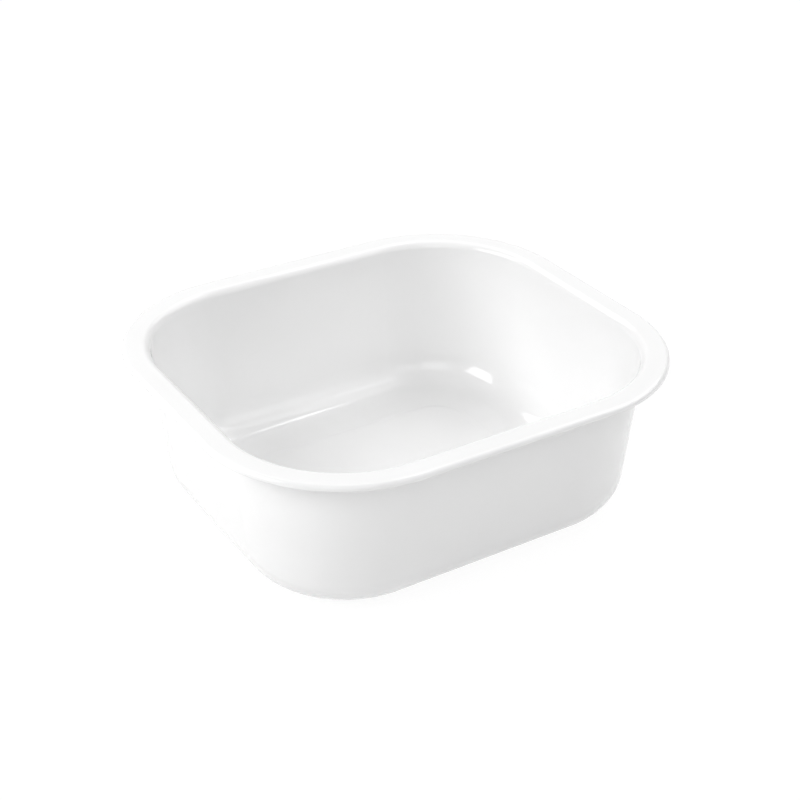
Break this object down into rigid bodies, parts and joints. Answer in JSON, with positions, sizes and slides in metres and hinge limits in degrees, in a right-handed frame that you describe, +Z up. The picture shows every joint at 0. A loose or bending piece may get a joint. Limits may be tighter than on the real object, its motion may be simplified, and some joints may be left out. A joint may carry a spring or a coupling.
{
  "type": "washing up bowl",
  "caption": "Rounded rectangular washing up bowl with leaning walls, large floor fillets and a flat rim with a small turned-down lip, moulded in one piece.",
  "frame": {"origin": "on the table, in the middle of the base", "axes": "+X along the bowl's long side, +Z up out of its mouth"},
  "size_m": [0.36, 0.324, 0.123],
  "materials": {
    "white_plastic": "glossy, as moulded"
  },
  "bodies": {
    "root": {"bowl": "white_plastic"}
  },
  "joints": []
}
